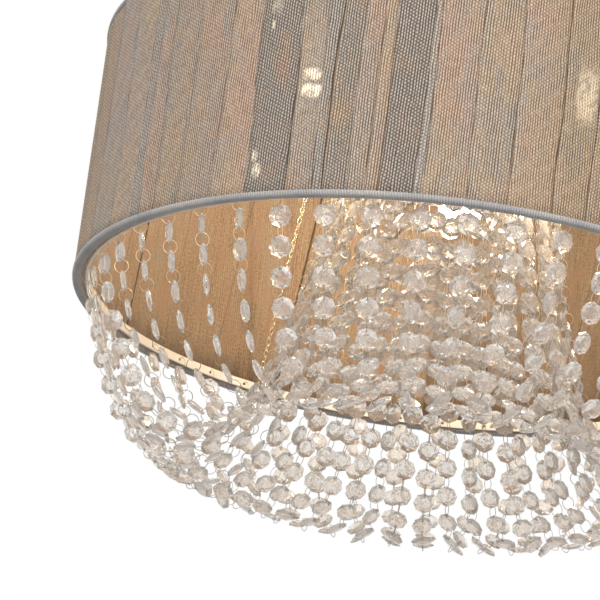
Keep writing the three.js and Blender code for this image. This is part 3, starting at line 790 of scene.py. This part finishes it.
def one_crystal():
    clear_selection()
    corner = bead_size / 2 / math.cos(math.pi / 8)
    bpy.ops.mesh.primitive_cylinder_add(vertices=8, radius=corner, depth=girdle_height)
    crystal = named("crystal")
    for side in (1, -1):
        edit_faces(crystal, lambda middle, normal: normal.z * side > 0.9)
        bpy.ops.mesh.extrude_region_move(TRANSFORM_OT_translate={"value": (0, 0, side * crown_height)})
        level = side * (girdle_height / 2 + crown_height)
        bpy.ops.transform.resize(value=(table_share, table_share, 1), center_override=(0, 0, level))
        bpy.ops.transform.rotate(value=math.pi / 8, orient_axis="Z", center_override=(0, 0, 0))
        bpy.ops.mesh.poke(offset=point_height)
        object_mode()
    edit(crystal, "FACE")
    bpy.ops.mesh.quads_convert_to_tris(quad_method="FIXED")
    object_mode()
    for place in (-1, 1):
        clear_selection()
        bpy.ops.mesh.primitive_cylinder_add(
            vertices=5, radius=hole_radius, depth=drill_length, location=(0, place * hole_reach, 0)
        )
        drill = bpy.context.object
        apply_modifier(crystal, "BOOLEAN", object=drill, operation="DIFFERENCE", solver="EXACT")
        bpy.data.objects.remove(drill)
    return crystal


def in_order(piece):
    """The piece anew with its points and faces sorted, as a boolean leaves them in a chance order."""
    places = [tuple(vertex.co) for vertex in piece.data.vertices]
    ranked = sorted(range(len(places)), key=places.__getitem__)
    ranks = {number: rank for rank, number in enumerate(ranked)}
    faces = []
    for face in piece.data.polygons:
        corners = [ranks[number] for number in face.vertices]
        start = corners.index(min(corners))
        faces.append(corners[start:] + corners[:start])
    name = piece.name
    bpy.data.objects.remove(piece)
    return piece_from(name, [places[number] for number in ranked], sorted(faces))


crystal = in_order(one_crystal())
facet_rng = random.Random(5)
facets = crystal.data.attributes.new("facet", "FLOAT", "FACE")
for value in facets.data:
    value.value = facet_rng.random()
print("crystal faces", len(crystal.data.polygons))

# %% [markdown]
# The crystals are linked by round rings of thin wire, square to the crystals they join. One ring is a
# torus of few faces.

# %% One wire ring
ring_radius, ring_wire = (bead_pitch - 2 * hole_reach) / 2, 0.00024
wire_ring = torus("wire_ring", 14, 4, ring_radius, ring_wire)
smooth(wire_ring)
print("ring faces", len(wire_ring.data.polygons))

# %% [markdown]
# A loop's crystals keep nearly the same facing from one to the next, and twist slowly along the
# loop. The loops at the front left have the facings of the photograph, the others a seeded one.
# Past the lowest point the loops crowd towards the inner ring, and their crystals lie over one
# another like shingles, most of them turned a little to the same side. No two loops hang quite
# alike there, so each loop's crystals slip a few millimetres along it, with both its ends held, and
# every other loop lies behind its neighbours, where it leaves them room.

# %% Facing of each loop
front_facing = {
    # azimuth of the loop: degrees at its first crystal, and more with each one
    -26.25: (14, 2), -18.75: (10, 2), -33.75: (-20, -7), -41.25: (-26, -5), -48.75: (-20, -5),
    -56.25: (-24, -3), -63.75: (-18, -1), -71.25: (22, 6), -11.25: (8, 4), -3.75: (-6, -7), 3.75: (10, 5),
}
turning_beads, slipping_beads, setting_beads = 3, 4, 3  # over so many crystals the climb's ways set in
most_slip, layer_depth = 0.0046, 0.0030
facing_rng, climb_rng = random.Random(21), random.Random(34)
loop_facings, loop_wobble, climb_facings, climb_slips = {}, {}, {}, {}
for azimuth in loop_azimuths:
    signed = azimuth if azimuth <= 180 else azimuth - 360
    guess = (facing_rng.gauss(0, 18), facing_rng.gauss(0, 5))
    loop_facings[azimuth] = front_facing.get(signed, guess)
    loop_wobble[azimuth] = [facing_rng.gauss(0, 7) for _ in range(bead_count)]
    climb_facings[azimuth] = climb_rng.gauss(4, 10)
    climb_slips[azimuth] = climb_rng.uniform(-most_slip, most_slip)


def facing(azimuth, bead):
    """Degrees by which a crystal is turned from facing straight outwards."""
    start, twist = loop_facings[azimuth]
    climbed = limited((bead - outer_bead_count + 1) / turning_beads)
    hung = (start + twist * bead) * (1 - climbed)
    return hung + climb_facings[azimuth] * climbed + loop_wobble[azimuth][bead]


print("facings", len(loop_facings), "from the photograph", len(front_facing))


# %% Placing along a loop
def set_back(azimuth, distance):
    """How far a loop lies outside its curve: every other loop on the climb lies behind the rest."""
    climbed = (distance - end_link - outer_bead_count * bead_pitch) / (setting_beads * bead_pitch)
    hooked = (loop_length - distance) / (end_link + bead_size / 2)
    side = 1 if loop_azimuths.index(azimuth) % 2 else -1
    return layer_depth * side * min(limited(climbed), hooked)


def loop_frame(azimuth, distance, turn):
    """A matrix on a loop: Y along it, Z the way that a crystal faces when turned by that much."""
    (radius, height), (inward, upward) = loop_at(distance)
    outwards = around(1, azimuth, 0)
    along = (outwards * -inward + Vector((0, 0, upward))).normalized()
    beside = around(1, azimuth + 90, 0)
    face = along.cross(beside).normalized()
    angle = math.radians(turn)
    facing_out = face * math.cos(angle) + beside * math.sin(angle)
    side = along.cross(facing_out)
    matrix = Matrix((side, along, facing_out)).transposed().to_4x4()
    matrix.translation = around(radius + set_back(azimuth, distance), azimuth, height)
    return matrix


across_turn = Matrix.Rotation(math.pi / 2, 4, "Y")


def ring_place(azimuth, distance, turn):
    return loop_frame(azimuth, distance, turn) @ across_turn


def bead_middle(azimuth, bead):
    """How far along its loop a crystal's middle is."""
    climbed, left = bead - outer_bead_count + 1, bead_count - 1 - bead
    slipped = min(limited(climbed / slipping_beads), left / slipping_beads)
    return end_link + bead_size / 2 + bead * bead_pitch + climb_slips[azimuth] * slipped


crystal_places = {"rim": [], "middle": []}
ring_places = {"rim": [], "middle": []}
for azimuth in loop_azimuths:
    before = bead_middle(azimuth, 0) - bead_pitch
    for bead in range(bead_count):
        part = "rim" if bead < outer_bead_count else "middle"
        place = bead_middle(azimuth, bead)
        turn = facing(azimuth, bead)
        crystal_places[part].append(loop_frame(azimuth, place, turn))
        ring_places[part].append(ring_place(azimuth, (before + place) / 2, turn))
        before = place
    ring_places["middle"].append(ring_place(azimuth, before + bead_pitch / 2, turn))


def strung(name, shape, places):
    """One piece with a copy of the shape at each place, facet numbers and all."""
    points = [vertex.co.copy() for vertex in shape.data.vertices]
    corners = [tuple(face.vertices) for face in shape.data.polygons]
    vertices, faces = [], []
    for place in places:
        first = len(vertices)
        vertices += [place @ point for point in points]
        faces += [tuple(first + corner for corner in face) for face in corners]
    piece = piece_from(name, vertices, faces)
    if "facet" in shape.data.attributes:
        numbers = [value.value for value in shape.data.attributes["facet"].data]
        facets = piece.data.attributes.new("facet", "FLOAT", "FACE")
        facets.data.foreach_set("value", numbers * len(places))
    else:
        smooth(piece)
    return piece


rim_crystals = strung("rim_crystals", crystal, crystal_places["rim"])
middle_crystals = strung("middle_crystals", crystal, crystal_places["middle"])
rim_rings = strung("rim_rings", wire_ring, ring_places["rim"])
middle_rings = strung("middle_rings", wire_ring, ring_places["middle"])
for part in (crystal, wire_ring):
    bpy.data.objects.remove(part)
print("crystals", len(rim_crystals.data.polygons) + len(middle_crystals.data.polygons), "faces")

# %% The inner ring
inner_ring_radius, inner_ring_height = loop_end
inner_ring_wire = 0.0018
inner_ring = torus("inner_ring", 144, 12, inner_ring_radius, inner_ring_wire)
inner_ring.location.z = inner_ring_height
smooth(settle(inner_ring))
stands_for(inner_ring, "crystal_ring")
for piece, node, slot in (
    (rim_crystals, "crystal_band", "crystal"), (rim_rings, "crystal_band", "steel"),
    (middle_crystals, "crystal_ring", "crystal"), (middle_rings, "crystal_ring", "steel"),
):
    stands_for(piece, node)
print("inner ring faces", len(inner_ring.data.polygons))

# %% [markdown]
# Cut crystal is clear, but small faces send the light of the shade, the lamps and the white room in
# all directions, so a crystal looks milky, with warm edges. The finish is mostly glass with some
# white body, and part of that light is painted: each facet and each crystal gets its own painted
# brightness and slight tint, faces turned downwards a painted warm reflection, and crystals near the
# rim a painted reflection of the warm lining.

# %% Crystal finish
clear = {"IOR": 1.46, "Transmission_Weight": 0.78, "Coat_Weight": 0.5, "Coat_Roughness": 0.03}
glass = Finish("cut_glass", (0.90, 0.89, 0.84), 0.05, **clear)
facet = glass.node("Attribute", {"attribute_name": "facet"}, {}, "Fac")
cells = glass.node("TexVoronoi", {}, {"Vector": glass.place(), "Scale": 420.0}, "Color")
mosaic, _, _ = glass.split(cells)
tilted = glass.node("Math", {"operation": "FRACT"}, {0: facet + glass.own() * 3.7 + mosaic * 0.7})
cloudy = glass.noise(glass.place(), 420.0, 2.0)
# painted reflections: each facet and each crystal gets its own brightness and slight tint
painted_facet_flash = glass.node("ValToRGB", {"stops": [
    (0.0, (0.58, 0.49, 0.38)), (0.08, (0.82, 0.76, 0.68)), (0.26, (0.93, 0.90, 0.85)),
    (0.60, (0.98, 0.96, 0.93)), (1.0, (1.0, 1.0, 0.99)),
]}, {0: tilted})
# faces turned downwards get a painted warm reflection
_, _, downwards = glass.split(glass.node("NewGeometry", {}, {}, "Normal"))
painted_warm_reflection = glass.mixed(glass.between(downwards, -0.3, -0.8, 0.0, 0.4), painted_facet_flash, (0.90, 0.70, 0.54))
# crystals near the rim get a painted reflection of the warm lining
east, north, height = glass.split(glass.place())
painted_lining_reflection = glass.between((east * east + north * north) ** 0.5, 0.13, 0.17)
painted_lining_reflection = painted_lining_reflection * glass.between(height, -0.43, -0.40)
painted_warm_reflection = glass.mixed(painted_lining_reflection * 0.22, painted_warm_reflection, (0.70, 0.57, 0.44))
glass.set("Base Color", glass.shaded(painted_warm_reflection, cloudy * 0.16 + 0.92))
glass.set("Roughness", cloudy * 0.10)
small_facets = glass.node("TexVoronoi", {}, {"Vector": glass.place(), "Scale": 300.0}, "Distance")
glass.bump(small_facets, 0.0005, 0.42)
glass.put_on(rim_crystals, middle_crystals)

# %% [markdown]
# The metals differ in colour and in how finely they are brushed. The band's folded edge is brown, and
# the rings are painted light gold where the lamps light them, and painted darker below, in shade.


# %% Metal finishes
def metal(name, colour, roughness, scale, spread, metallic=1.0):
    finish = Finish(name, colour, roughness, Metallic=metallic)
    grain = finish.noise(finish.place(), scale, 3.0)
    finish.set("Roughness", grain * spread + (roughness - spread / 2))
    finish.bump(grain, 0.00005, 0.3)
    return finish, grain


def plain_metal(name, colour, *rest):
    finish, grain = metal(name, colour, *rest)
    finish.set("Base Color", finish.shaded(colour, grain * 0.24 + 0.88))
    return finish


gold = plain_metal("polished_gold", (0.83, 0.66, 0.38), 0.24, 420.0, 0.16)
pale_gold = plain_metal("pale_gold", (0.88, 0.77, 0.55), 0.26, 420.0, 0.16)
nickel = plain_metal("brushed_nickel", (0.66, 0.64, 0.60), 0.34, 500.0, 0.2)
champagne, _ = metal("champagne_band", (0.82, 0.78, 0.71), 0.42, 300.0, 0.2, 0.3)
east, north, _ = champagne.split(champagne.place())
folded_edge = champagne.between((east * east + north * north) ** 0.5, 0.2404, 0.2410)
champagne.set("Base Color", champagne.mixed(folded_edge, (0.82, 0.78, 0.71), (0.34, 0.19, 0.10)))
wire, _ = metal("silver_wire", (0.30, 0.23, 0.14), 0.30, 800.0, 0.1, 0.9)
# painted light and shade: the rings are light gold high up, where the lamps light them, and darker below
_, _, height = wire.split(wire.place())
painted_lamplight_gold = wire.between(height, -0.405, -0.365)
wire.set("Base Color", wire.mixed(painted_lamplight_gold, (0.27, 0.225, 0.16), (0.64, 0.54, 0.38)))
champagne.put_on(rim_band)
wire.put_on(rim_rings, middle_rings)
gold.put_on(inner_ring)

# %% [markdown]
# Fine gold chains run from the spider arms down to the band and keep the shade true. One link is a
# stretched torus, copied along each chain with every other link turned a quarter.

# %% Stay chains
link_pitch, link_radius, link_wire = 0.0042, 0.0018, 0.00038
arm_azimuths = (-149, -29, 91)
chain_top, chain_bottom = (0.1957, -0.1752), (0.2385, -0.3432)
link = torus("link", 12, 5, link_radius, link_wire)
edit(link, "FACE")
bpy.ops.transform.resize(value=(0.8, 1.42, 1), center_override=(0, 0, 0))
object_mode()
smooth(link)


def chain_between(name, top, bottom):
    along = (bottom - top).normalized()
    side = along.cross(Vector((0, 0, 1))).normalized()
    count = round((bottom - top).length / link_pitch)
    places = []
    for number in range(count):
        middle = top + (bottom - top) * ((number + 0.5) / count)
        across = side if number % 2 else side.cross(along)
        matrix = Matrix((across, along, across.cross(along))).transposed().to_4x4()
        matrix.translation = middle
        places.append(matrix)
    return strung(name, link, places)


for number, azimuth in enumerate(arm_azimuths, 1):
    ends = [around(radius, azimuth, height) for radius, height in (chain_top, chain_bottom)]
    chain = chain_between(f"chain_{number}", *ends)
    stands_for(chain, f"stay_chain_{number}")
    pale_gold.put_on(chain)
bpy.data.objects.remove(link)
print("chain faces", len(chain.data.polygons))

# %% [markdown]
# The lamps are frosted bulbs that hang down in white lampholders. Each bulb's outline is spun, and it
# gives the warm light inside the shade, so the lining and the crystals are lit from it.

# %% Lamps
lamp_circle, lamp_azimuths = 0.112, (-65.4, 54.6, 174.6)
bulb_outline = [
    (0, -0.2356), (0.0045, -0.2352), (0.0090, -0.2337), (0.0130, -0.2308), (0.0158, -0.2268),
    (0.0169, -0.2220), (0.0165, -0.2172), (0.0148, -0.2125), (0.0123, -0.2082), (0.0098, -0.2040),
    (0.0080, -0.1990), (0.0072, -0.1940), (0.0070, -0.1908),
]


def bulb(name, azimuth):
    """A spun bulb, closed at its neck."""
    piece = spun(name, bulb_outline, 28, closed=False)
    edit(piece, "EDGE", "DESELECT")
    bpy.ops.mesh.select_non_manifold()
    bpy.ops.mesh.edge_face_add()
    bpy.ops.mesh.select_all(action="SELECT")
    bpy.ops.mesh.normals_make_consistent(inside=False)
    object_mode()
    piece.location = around(lamp_circle, azimuth, 0)
    smooth(piece)
    return settle(piece)


lamp_glass = Finish("lamp_glass", (1.0, 0.93, 0.82), 0.35)
_, _, height = lamp_glass.split(lamp_glass.place())
bright = lamp_glass.between(height, -0.2, -0.215, 0.45, 1.0)
glowing = lamp_glass.mixed(bright, (1.0, 0.66, 0.36), (1.0, 0.8, 0.56))
lamp_glass.set("Emission Color", lamp_glass.shaded(glowing, bright))
lamp_glass.set("Emission Strength", 88.0)
for number, azimuth in enumerate(lamp_azimuths, 1):
    piece = bulb(f"bulb_{number}", azimuth)
    stands_for(piece, f"lamp_{number}")
    lamp_glass.put_on(piece)
print("bulb faces", len(piece.data.polygons))

# %% [markdown]
# The canopy, the hub, the stem and the lampholders are spun metal and moulded plastic on the real
# light, so their outlines are turned here in fine steps, with their corners rounded over.

# %% White plastic finish
plastic = Finish("white_plastic", (0.86, 0.83, 0.77), 0.38, Coat_Weight=0.2, Coat_Roughness=0.2)
dust = plastic.noise(plastic.place(), 160.0, 3.0)
plastic.set("Base Color", plastic.shaded((0.86, 0.83, 0.77), dust * 0.16 + 0.92))
plastic.set("Roughness", dust * 0.2 + 0.28)
plastic.bump(dust, 0.00008, 0.3)
finishes = {"gold_metal": gold, "steel": nickel, "white_plastic": plastic}


# %% Turned parts
def rounded(outline, reach, closed):
    """The outline with each corner rounded over, starting at that reach from it."""
    softened = []
    count = len(outline)
    for number, corner in enumerate(outline):
        if not closed and number in (0, count - 1):
            softened.append(corner)
            continue
        here = Vector(corner)
        before, after = Vector(outline[number - 1]) - here, Vector(outline[(number + 1) % count]) - here
        start = here + before.normalized() * min(reach, before.length * 0.45)
        end = here + after.normalized() * min(reach, after.length * 0.45)
        softened += [tuple(start.lerp(here, step).lerp(here.lerp(end, step), step)) for step in (0, 0.5, 1)]
    return softened


def turned(name, node, body, outline, steps, reach, closed=True, place=(0, 0, 0), slot="gold_metal"):
    """A spun part from an outline in millimetres, with its corners rounded over."""
    points = rounded([(radius / 1000, height / 1000) for radius, height in outline], reach, closed)
    piece = spun(name, points, steps, closed=closed)
    smooth(piece)
    piece.location = place
    stands_for(settle(piece), node, body)
    finishes[slot].put_on(piece)
    return piece


# Outlines in millimetres: radius and height
canopy_outline = [
    (5.1, -30), (54, -30), (58.6, -28.4), (60, -24), (60, -0.3), (58.8, -0.3), (58.8, -24), (53.4, -28.8),
    (5.1, -28.8),
]
collar_outline = [(5.1, -35.3), (9.3, -35.3), (11, -32.8), (11, -30.3), (5.1, -30.3)]
cap_outline = [
    (0, -38.3), (1.6, -38.1), (3.0, -37.3), (4.1, -35.8), (4.5, -33.9), (4.5, -30.3), (2.3, -30.3),
    (2.3, -34.6), (0, -34.6),
]
hub_outline = [
    (6.8, -152.5), (36.5, -155.5), (36.5, -177), (38, -177), (38, -154), (35, -151), (6.8, -151),
]
floor_outline = [(0, -179.7), (35.6, -179.7), (38, -178.5), (38, -177.3), (0, -177.3)]
stem_outline = [(5, -160.6), (6.5, -160.6), (6.5, -85.2), (5, -85.2)]
holder_outline = [
    (0, -173.3), (7.8, -173.3), (7.8, -188.3), (13, -188.3), (13, -173.3), (8, -168.3), (0, -168.3),
]
canopy = turned("canopy_cup", "canopy", "ceiling", canopy_outline, 120, 0.0004)
turned("collar", "canopy_collar", "ceiling", collar_outline, 48, 0.0005)
for side, y in (("front", -0.022), ("back", 0.022)):
    turned(f"cap_{side}", f"cap_nut_{side}", "ceiling", cap_outline, 32, 0.0003, False, (0, y, 0))
turned("hub_shell", "hub_cup", "chandelier", hub_outline, 96, 0.0016)
turned("hub_plate", "hub_floor", "chandelier", floor_outline, 96, 0.0006, False)
turned("stem_tube", "stem", "chandelier", stem_outline, 40, 0.0003)
for number, azimuth in enumerate(lamp_azimuths, 1):
    middle, names = around(lamp_circle, azimuth, 0), (f"holder_{number}", f"lampholder_{number}")
    turned(*names, "chandelier", holder_outline, 48, 0.0007, False, middle, "white_plastic")
print("canopy faces", len(canopy.data.polygons))

# %% [markdown]
# The arms, the swivel and the other small parts keep the model's own shapes and get their finishes:
# polished gold, brushed nickel for what stays hidden, and white plastic.

# %% Finishes on the model's own parts
slots = {part["node"]: part["material_slot"] for part in frame["record"]["subparts"]}
carried = [name for name, node in frame["nodes"].items() if not node.hide_render]
for name in carried:
    finishes[slots[name]].put_on(frame["nodes"][name])
print("carried over", len(carried))

# %% [markdown]
# A plain pale floor lies well below the light, out of the camera's view, and only shows in views
# from above.

# %% Floor
clear_selection()
floor_radius, floor_height = 9, -1.9
bpy.ops.mesh.primitive_circle_add(
    vertices=96, radius=floor_radius, fill_type="NGON", location=(0, 0, floor_height)
)
floor = settle(named("floor"))
ground = Finish("pale_floor", (0.9, 0.9, 0.9), 0.7)
specks = ground.noise(ground.place(), 3.0, 2.0)
bounced = ground.node("LightPath", {}, {}, "Is Diffuse Ray")
pale = ground.mixed(bounced, (0.93, 0.93, 0.92), (0.26, 0.26, 0.26))
ground.set("Base Color", ground.shaded(pale, specks * 0.04 + 0.96))
ground.put_on(floor)
